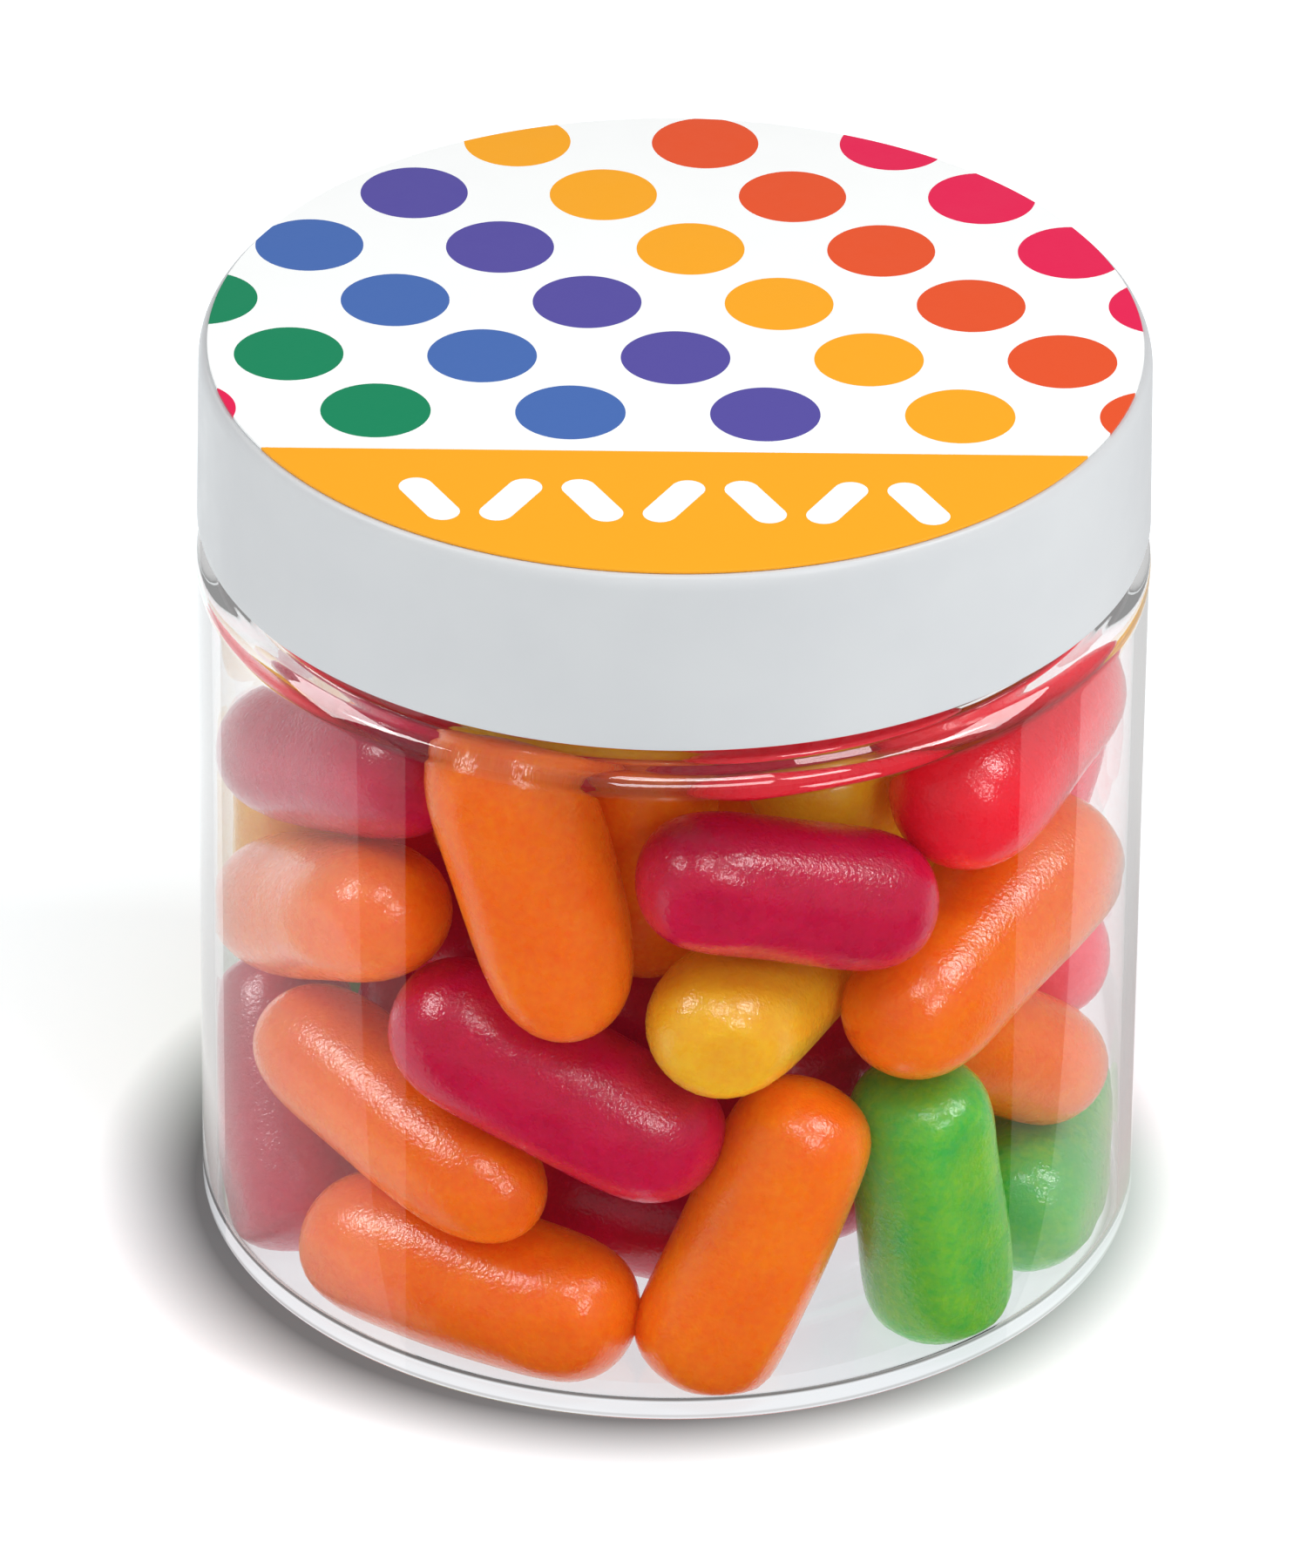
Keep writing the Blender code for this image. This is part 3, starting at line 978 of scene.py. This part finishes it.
@dataclass
class SweetHeap:
    """All the sweets: the front row as laid, the rest dropped in behind and settled.

    While they settle, each sweet is an axis with a rounded end at each end.
    Girth and core are a loose sweet's thickness and the length of its axis.
    Pull is the drop in each round, grip how freely the front row moves when
    pushed, hold how strongly it goes back to its place, and give the share of
    an overlap undone at a time. Press says how near an axis may come to the
    wall and to the floor, as a share of the sweet's radius.
    """

    jar: JarShell
    top: float
    girth: float = 10.3
    girth_spread: float = 0.3
    core: float = 11.8
    core_spread: float = 1.3
    clearance: float = 0.12
    press_wall: float = 0.87
    press_floor: float = 0.78
    rounds: int = 700
    pull: float = 0.05
    grip: float = 0.05
    hold: float = 0.15
    give: float = 0.45
    drop_radius: float = 18.0
    drop_back: float = 6.0
    drop_heights: tuple[float, float] = (8.0, 54.0)
    steepness: float = 0.8
    ripple: tuple[float, float, float] = (0.012, 0.010, 0.012)
    seed: int = 11
    rows: int = 34
    columns: int = 30

    def _start(self) -> None:
        """List the sweets' axis ends, sizes and flavours before they settle."""
        dice = np.random.default_rng(self.seed)
        laid = np.array([[self._spot(sweet.one), self._spot(sweet.other)] for sweet in FRONT_ROW])
        extra = [flavour for flavour, count in HEAP_MIX for _ in range(count)]
        dice.shuffle(extra)
        count = len(extra)
        reach = self.drop_radius * np.sqrt(dice.uniform(0.0, 1.0, count))
        turn = dice.uniform(0.0, 2.0 * np.pi, count)
        height = dice.uniform(*self.drop_heights, count)
        middle = np.stack([reach * np.cos(turn), self.drop_back + reach * np.sin(turn), height], axis=-1)
        lie = dice.normal(size=(count, 3)) * (1.0, 1.0, self.steepness)
        lie /= np.linalg.norm(lie, axis=1, keepdims=True)
        core = self.core + self.core_spread * dice.uniform(-1.0, 1.0, count)
        half = 0.5 * core[:, None] * lie
        self.ends = np.concatenate([laid, np.stack([middle - half, middle + half], axis=1)])
        self.length = np.linalg.norm(self.ends[:, 1] - self.ends[:, 0], axis=1)
        thick = self.girth + self.girth_spread * dice.uniform(-1.0, 1.0, count)
        self.radius = 0.5 * np.concatenate([[sweet.girth for sweet in FRONT_ROW], thick])
        self.loose = np.concatenate([np.full(len(FRONT_ROW), self.grip), np.ones(count)])
        self.home = laid
        self.flavours = [sweet.flavour for sweet in FRONT_ROW] + extra

    @staticmethod
    def _spot(place: Place) -> np.ndarray:
        """Turn a place round the jar into a point: (d sin a, -d cos a, height).

        Args:
            place: degrees a from the front, height, and distance d from the axis.

        Returns:
            The point in millimetres.
        """
        turn = math.radians(place[0])
        return np.array([place[2] * math.sin(turn), -place[2] * math.cos(turn), place[1]])

    def _contacts(self) -> None:
        """Push apart every pair of sweets that overlap, each by its share.

        For each pair, the two nearest points of their axes are found; the
        overlap is the sum of the radii less their distance, and it is shared
        out over the four axis ends in proportion to how near they are.
        """
        first, second = np.triu_indices(len(self.ends), 1)
        near = np.linalg.norm(self.ends[first].mean(axis=1) - self.ends[second].mean(axis=1), axis=1)
        near = near < 0.5 * (self.length[first] + self.length[second]) + self.radius[first] + self.radius[second]
        first, second = first[near], second[near]
        p, q = self.ends[first, 0], self.ends[second, 0]
        u, v = self.ends[first, 1] - p, self.ends[second, 1] - q
        w = p - q
        a, b, c = (u * u).sum(1), (u * v).sum(1), (v * v).sum(1)
        d, e = (u * w).sum(1), (v * w).sum(1)
        s = np.clip((b * e - c * d) / np.maximum(a * c - b * b, 1e-6), 0.0, 1.0)
        t = np.clip((b * s + e) / c, 0.0, 1.0)
        s = np.clip((b * t - d) / a, 0.0, 1.0)
        gap = p + s[:, None] * u - q - t[:, None] * v
        apart = np.linalg.norm(gap, axis=1)
        overlap = np.maximum(self.radius[first] + self.radius[second] - apart, 0.0)
        push = gap / np.maximum(apart, 1e-6)[:, None] * overlap[:, None] * self.give
        total = self.loose[first] + self.loose[second]
        move = np.zeros_like(self.ends)
        for rows, share, sign in ((first, s, 1.0), (second, t, -1.0)):
            weight = sign * (self.loose[rows] / total)[:, None] * push
            spread = (1.0 - share) ** 2 + share**2
            np.add.at(move[:, 0], rows, weight * ((1.0 - share) / spread)[:, None])
            np.add.at(move[:, 1], rows, weight * (share / spread)[:, None])
        self.ends += move

    def _stay_in(self) -> None:
        """Keep every axis end inside the jar, its floor and the heap's top."""
        radius = self.radius[:, None]
        x, y, z = self.ends[..., 0], self.ends[..., 1], self.ends[..., 2]
        under = self.jar.shoulder_top - self.jar.wall
        narrow = np.clip((z + 0.6 * radius - under) / 2.0 + 0.5, 0.0, 1.0)
        body = self.jar.inner_radius - self.press_wall * radius
        room = body + narrow * (self.jar.bore - radius - body) - self.clearance
        reach = np.hypot(x, y)
        pull = np.minimum(1.0, room / np.maximum(reach, 1e-6))
        x *= pull
        y *= pull
        np.maximum(z, self.jar.floor_at(reach) + self.press_floor * radius + self.clearance, out=z)
        np.minimum(z, self.top - self.clearance - radius, out=z)

    def _keep_length(self) -> None:
        """Bring each axis back to its own length about its middle."""
        middle = self.ends.mean(axis=1, keepdims=True)
        span = self.ends[:, 1] - self.ends[:, 0]
        half = 0.5 * span * (self.length / np.linalg.norm(span, axis=1))[:, None]
        self.ends = middle + np.stack([-half, half], axis=1)

    def settle(self) -> None:
        """Let the sweets drop and push one another until they lie still.

        In each round the loose sweets drop by pull, and the front row goes back
        towards its own place by the share hold of the way.
        """
        self._start()
        laid = len(self.home)
        for _ in range(self.rounds):
            self.ends[laid:, :, 2] -= self.pull
            self.ends[:laid] += self.hold * (self.home - self.ends[:laid])
            for _ in range(2):
                self._contacts()
                self._keep_length()
                self._stay_in()

    def _shapes(self, chosen: np.ndarray) -> tuple[np.ndarray, np.ndarray]:
        """Work out the skins of the chosen sweets, one grid each.

        Along the axis, x runs from -1 to 1 and the skin's radius is that of a
        blunt oval, (1 - |x|^n)^(1/2), made a little thicker at one end, bowed
        in a parabola, flattened, and pushed in and out by a few slow waves.

        Args:
            chosen: numbers of the sweets.

        Returns:
            (sweets, rows, columns, 3) skin points and (sweets, 2, 3) end points.
        """
        dice = np.random.default_rng(self.seed + 1)
        count = len(self.ends)
        laid = len(FRONT_ROW)
        blunt = dice.uniform(4.2, 6.0, count)
        bow = dice.uniform(-0.5, 0.5, count)
        blunt[:laid] = [sweet.blunt for sweet in FRONT_ROW]
        bow[:laid] = [sweet.bow for sweet in FRONT_ROW]
        taper = dice.uniform(-0.05, 0.05, count)
        taper[:laid] = [sweet.taper for sweet in FRONT_ROW]
        flat = dice.uniform(0.93, 1.0, count)
        phase = dice.uniform(0.0, 2.0 * np.pi, (count, 4))

        def per(values: np.ndarray) -> np.ndarray:
            """Pick the chosen sweets' values and shape them to go with the grids."""
            return values[chosen][:, None, None]

        along = np.linspace(-0.5 * np.pi, 0.5 * np.pi, self.rows + 2)[None, 1:-1, None]
        turn = (2.0 * np.pi * np.arange(self.columns) / self.columns)[None, None, :]
        x = np.sin(along)
        oval = np.sqrt(1.0 - np.abs(x) ** per(blunt))
        wave = self.ripple[0] * np.sin(3.0 * x + 2.0 * turn + per(phase[:, 0]))
        wave = wave + self.ripple[1] * np.sin(5.0 * x - turn + per(phase[:, 1]))
        wave = wave + self.ripple[2] * np.sin(4.0 * x + per(phase[:, 2]))
        radius = per(self.radius) * oval * (1.0 + per(taper) * x + wave)
        half = per(0.5 * self.length + self.radius)
        sideways = radius * np.cos(turn) + per(bow) * (1.0 - x**2) * np.ones_like(turn)
        upwards = radius * np.sin(turn) * per(flat)
        axis, side, rise = self._axes(chosen)
        middle = self.ends[chosen].mean(axis=1)[:, None, None, :]
        forward = (half * x * np.ones_like(turn))[..., None]
        skins = middle + forward * axis + sideways[..., None] * side + upwards[..., None] * rise
        tips = middle[:, 0] + np.stack([-half[:, 0], half[:, 0]], axis=1) * axis[:, 0]
        return self._flattened(skins), self._flattened(tips)

    def _flattened(self, points: np.ndarray) -> np.ndarray:
        """Flatten skins softly where they press on the jar's wall and floor.

        A point beyond the wall moves back onto it, along its own radius of the
        jar, and a point under the floor moves straight up onto it.

        Args:
            points: skin points, in millimetres.

        Returns:
            The points, all inside the jar.
        """
        reach = np.hypot(points[..., 0], points[..., 1])
        room = self.jar.inner_radius - 0.5 * self.clearance
        back = np.minimum(1.0, room / np.maximum(reach, 1e-6))
        low = self.jar.floor_at(reach * back) + 0.5 * self.clearance
        height = np.maximum(points[..., 2], low)
        return np.stack([points[..., 0] * back, points[..., 1] * back, height], axis=-1)

    def _axes(self, chosen: np.ndarray) -> tuple[np.ndarray, np.ndarray, np.ndarray]:
        """Find three directions of each sweet, at right angles to one another.

        The first goes from one end to the other. The second is the way out to
        the wall, less its part along the first. The third is their cross product.

        Args:
            chosen: numbers of the sweets.

        Returns:
            The directions, shaped to go with the grids.
        """
        ends = self.ends[chosen]
        axis = ends[:, 1] - ends[:, 0]
        axis /= np.linalg.norm(axis, axis=1, keepdims=True)
        outward = ends.mean(axis=1) * (1.0, 1.0, 0.0) + (0.0, 1e-3, 0.0)
        side = outward - (outward * axis).sum(axis=1, keepdims=True) * axis
        side /= np.linalg.norm(side, axis=1, keepdims=True)
        rise = np.cross(axis, side)
        return axis[:, None, None, :], side[:, None, None, :], rise[:, None, None, :]

    def build(self, flavour: Flavour, finish: bpy.types.Material) -> bpy.types.Object:
        """Join all sweets of one flavour into a piece that carries each sweet's own tint.

        Args:
            flavour: the flavour to build.
            finish: its material.

        Returns:
            The flavour's piece.
        """
        chosen = np.array([i for i, other in enumerate(self.flavours) if other is flavour])
        skins, tips = self._shapes(chosen)
        each = self.rows * self.columns + 2
        vertices, quads, tris, total = [], [], [], 0
        for skin, (first, last) in zip(skins, tips):
            points, four, three = closed_tube(skin * MM, first * MM, last * MM)
            vertices.append(points)
            quads.append(four + total)
            tris.append(three + total)
            total += each
        name = f"{flavour.name.lower()}_sweets"
        item = piece(name, np.concatenate(vertices), np.concatenate(quads), np.concatenate(tris), 70.0)
        tint = np.random.default_rng(self.seed + 2).uniform(-0.35, 0.35, len(self.ends))
        tint[: len(FRONT_ROW)] *= 0.5
        tint += [sweet.tint for sweet in FRONT_ROW] + [0.5] * (len(self.ends) - len(FRONT_ROW))
        layer = item.data.attributes.new("tint", "FLOAT", "POINT")
        layer.data.foreach_set("value", np.repeat(tint[chosen], each).astype(np.float32))
        item.data.materials.append(finish)
        return item


# --------------------------------------------------------------------- studio


def on_dome(turn: float, rise: float, distance: float) -> Vector:
    """Find a point on a dome: d times (sin a cos b, -cos a cos b, sin b).

    Args:
        turn: degrees a round from the front, towards +X.
        rise: degrees b up from level.
        distance: distance d from the dome's middle.

    Returns:
        The point, from the dome's middle.
    """
    a, b = math.radians(turn), math.radians(rise)
    return distance * Vector((math.sin(a) * math.cos(b), -math.cos(a) * math.cos(b), math.sin(b)))


@dataclass(frozen=True)
class Softbox:
    """One soft light: degrees round from the front, degrees up, distance, size and power."""

    name: str
    turn: float
    rise: float
    distance: float
    width: float
    height: float
    power: float

    def build(self, aim: Vector) -> bpy.types.Object:
        """Make the light, turned towards the jar.

        Args:
            aim: the point that it lights.

        Returns:
            The light.
        """
        data = bpy.data.lights.new(self.name, "AREA")
        data.shape = "RECTANGLE"
        data.size, data.size_y = self.width, self.height
        data.energy = self.power
        light = bpy.data.objects.new(self.name, data)
        light.location = aim + on_dome(self.turn, self.rise, self.distance)
        light.rotation_euler = (aim - light.location).to_track_quat("-Z", "Y").to_euler()
        bpy.context.scene.collection.objects.link(light)
        return light


@dataclass
class Studio:
    """White table, soft lights and the camera, in metres and degrees."""

    aim: Vector
    lights: tuple[Softbox, ...] = (
        Softbox("softbox_top", 6.0, 64.0, 0.75, 0.26, 0.09, 1.03),
        Softbox("softbox_key", 35.0, 34.0, 0.75, 0.17, 0.17, 1.12),
        Softbox("softbox_right", 82.0, 52.0, 0.75, 0.17, 0.27, 1.98),
        Softbox("softbox_left", -82.0, 47.0, 0.75, 0.15, 0.27, 1.8),
    )
    camera_distance: float = 0.9
    camera_rise: float = 30.95
    camera_roll: float = 0.55
    camera_height: float = 0.02928
    target: Place = (-0.001215, 0.0, 0.03121)
    lens: float = 298.96
    sky: float = 0.30
    table_size: float = 3.0
    table_height: float = 0.00002
    seen_white: float = 1.1
    table_glow: float = 0.42
    # Painted pool of light: the table glows brighter and bluer inside the jar's foot (the foot glow, inset, width and
    # colour).
    foot_glow: float = 0.86
    # Painted shadow: the table's colour and glow darken round the jar's foot, from a centre set off to the front left
    # (the shade offset, inset, width and floor).
    shade_offset: Place = (-0.0020, -0.0013, 0.0)
    shade_inset: float = 0.0015
    shade_width: float = 0.0072
    shade_floor: float = 0.16
    table_tone: Colour = (0.81, 0.865, 0.89)
    foot_inset: float = 0.0018
    foot_width: float = 0.0008
    foot_glow_colour: Colour = (0.93, 0.965, 1.0)
    clear_stretch: tuple[float, float] = (-33.0, 46.0)
    clear_sides: tuple[float, float] = (-66.0, 92.0)
    wing_turn: float = 37.0
    wing_tone: float = 0.65
    card_height: float = 0.0002
    card_reach: float = 1.0
    card_steps: int = 9

    def build_world(self) -> None:
        """Light the room evenly, and show it white behind the jar and through its wall."""
        world = bpy.data.worlds.new("studio")
        world.use_nodes = True
        sheet = NodeSheet(world.node_tree)
        glow = world.node_tree.nodes["Background"]
        glow.inputs["Color"].default_value = (1.0, 1.0, 1.0, 1.0)
        path = sheet.add("ShaderNodeLightPath")
        seen = sheet.maths("MAXIMUM", path.outputs["Is Camera Ray"], path.outputs["Is Transmission Ray"])
        strength = sheet.maths("MULTIPLY_ADD", seen, self.seen_white - self.sky, self.sky)
        sheet.feed(glow.inputs["Strength"], strength)
        bpy.context.scene.world = world

    def build_table(self, jar: JarShell) -> bpy.types.Object:
        """Make the white light table, with a painted shadow round the jar's foot and a painted pool of light under
        it.

        Args:
            jar: the jar that stands on it.

        Returns:
            The table.
        """
        half = 0.5 * self.table_size
        corners = [(x * half, y * half, self.table_height) for x, y in ((-1, -1), (1, -1), (1, 1), (-1, 1))]
        mesh = bpy.data.meshes.new("table")
        mesh.from_pydata(corners, [], [(0, 1, 2, 3)])
        table = bpy.data.objects.new("table", mesh)
        bpy.context.scene.collection.objects.link(table)
        material, sheet, shader, place = new_material("white_table")
        radius = jar.body_radius * MM
        # Painted shadow round the jar's foot, darkening both the table's colour and its glow.
        shade = self._reach(sheet, place, self.shade_offset, radius - self.shade_inset, self.shade_width)
        shade = sheet.maths("MULTIPLY_ADD", shade, 1.0 - self.shade_floor, self.shade_floor)
        # Painted pool of light: inside the jar's foot the table's glow is stronger and bluer.
        foot = self._reach(sheet, place, (0.0, 0.0, 0.0), radius - self.foot_inset, self.foot_width)
        open_table = sheet.maths("MULTIPLY", shade, self.table_glow)
        glow = sheet.add("ShaderNodeMix", data_type="FLOAT")
        sheet.feed(glow.inputs["Factor"], foot)
        sheet.feed(glow.inputs[2], self.foot_glow)
        sheet.feed(glow.inputs[3], open_table)
        sheet.feed(shader.inputs["Base Color"], sheet.mix(shade, (0.0, 0.0, 0.0), self.table_tone))
        shader.inputs["Roughness"].default_value = 0.9
        shader.inputs["Specular IOR Level"].default_value = 0.0
        sheet.feed(shader.inputs["Emission Color"], sheet.mix(foot, self.foot_glow_colour, (1.0, 1.0, 1.0)))
        sheet.feed(shader.inputs["Emission Strength"], glow.outputs[0])
        mesh.materials.append(material)
        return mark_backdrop(table)

    @staticmethod
    def _reach(sheet: NodeSheet, place: object, centre: Place, radius: float, width: float) -> object:
        """Tell how far outside a circle on the table a point is.

        Args:
            sheet: the table's sheet.
            place: the point.
            centre: the circle's centre.
            radius: the circle's radius.
            width: width of the rise.

        Returns:
            Zero inside the circle, rising evenly to one over the width outside it.
        """
        apart = sheet.add("ShaderNodeVectorMath", operation="DISTANCE")
        sheet.feed(apart.inputs[0], place)
        apart.inputs[1].default_value = centre
        ramp = sheet.add("ShaderNodeMapRange")
        sheet.feed(ramp.inputs["Value"], apart.outputs["Value"])
        ramp.inputs["From Min"].default_value = radius
        ramp.inputs["From Max"].default_value = radius + width
        return ramp.outputs["Result"]

    def build_cards(self, jar: JarShell) -> bpy.types.Object:
        """Lay the cards that tame the table's reflection in the jar, seen only in reflections.

        A black wedge keeps the front of the wall clear. Its two straight sides
        start where the clear stretch begins and ends. Grey wings beyond them
        soften the reflection at the jar's sides. Each card's outline is an arc
        at the jar's wall and a wider arc far out.

        Args:
            jar: the jar that they lie round.

        Returns:
            The cards, as one object.
        """
        (start, end), (far_start, far_end) = self.clear_stretch, self.clear_sides
        wing = self.wing_turn
        spans = (
            (start, end, far_end, far_start),
            (start - wing, start, far_start, far_start - 2.0 * wing),
            (end, end + wing, far_end + 2.0 * wing, far_end),
        )
        outlines = []
        for near_from, near_to, far_from, far_to in spans:
            near = np.linspace(near_from, near_to, self.card_steps)
            far = np.linspace(far_from, far_to, self.card_steps)
            outline = [on_dome(turn, 0.0, jar.body_radius * MM) for turn in near]
            outlines.append(outline + [on_dome(turn, 0.0, self.card_reach) for turn in far])
        points = [(p.x, p.y, self.card_height) for outline in outlines for p in outline]
        starts = np.cumsum([0] + [len(outline) for outline in outlines])
        mesh = bpy.data.meshes.new("cards")
        mesh.from_pydata(points, [], [tuple(range(a, b)) for a, b in zip(starts, starts[1:])])
        for name, tone in (("black_card", 0.02), ("grey_card", self.wing_tone)):
            material, _, shader, _ = new_material(name)
            shader.inputs["Base Color"].default_value = (tone, tone, tone, 1.0)
            shader.inputs["Specular IOR Level"].default_value = 0.0
            mesh.materials.append(material)
        mesh.polygons.foreach_set("material_index", [0, 1, 1])
        cards = bpy.data.objects.new("cards", mesh)
        bpy.context.scene.collection.objects.link(cards)
        cards.visible_camera = False
        cards.visible_diffuse = False
        cards.visible_transmission = False
        cards.visible_shadow = False
        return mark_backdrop(cards)

    def build_camera(self) -> None:
        """Stand the camera in front of the jar, looking down on it."""
        data = bpy.data.cameras.new("camera")
        data.lens = self.lens
        data.clip_start, data.clip_end = 0.05, 10.0
        place = on_dome(0.0, self.camera_rise, self.camera_distance) + Vector((0.0, 0.0, self.camera_height))
        look = (Vector(self.target) - place).to_track_quat("-Z", "Y").to_matrix().to_4x4()
        roll = Matrix.Rotation(math.radians(self.camera_roll), 4, "Z")
        camera = bpy.data.objects.new("camera", data)
        camera.matrix_world = Matrix.Translation(place) @ look @ roll
        bpy.context.scene.collection.objects.link(camera)
        bpy.context.scene.camera = camera

    def build(self, jar: JarShell) -> None:
        """Set up the whole studio.

        Args:
            jar: the jar that stands in its middle.
        """
        self.build_world()
        self.build_table(jar)
        self.build_cards(jar)
        for softbox in self.lights:
            softbox.build(self.aim)
        self.build_camera()
        bpy.context.scene.view_settings.view_transform = "Standard"


# ----------------------------------------------------------------------- main


def place_piece(item: bpy.types.Object, node: str) -> None:
    """Let a piece stand for its node and ride on the jar.

    Args:
        item: the piece.
        node: name of the CAD node that it stands for.
    """
    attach(item, ROOT)
    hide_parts(node)
    LOG.info("%s: %d faces, for node %s", item.name, len(item.data.polygons), node)


def main() -> None:
    """Build every piece in order."""
    logging.basicConfig(level=logging.INFO, format="%(name)s: %(message)s")
    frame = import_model()
    LOG.info("frame with %d nodes", len(frame["nodes"]))
    effects = SharedEffects()
    jar = JarShell.from_frame()
    place_piece(jar.build(ClearPlastic().build(effects)), "jar")
    place_piece(ScrewCap.from_frame().build(WhitePlastic().build(effects)), "lid")
    place_piece(PrintedDisc.from_frame().build(DottedPrint().build(effects)), "label")
    heap = SweetHeap(jar=jar, top=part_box("sweets")[1].z / MM)
    heap.settle()
    for shell in SWEET_SHELLS:
        place_piece(heap.build(shell.flavour, shell.build(effects)), "sweets")
    Studio(aim=Vector((0.0, 0.0, 0.03))).build(jar)


if __name__ == "__main__":
    main()
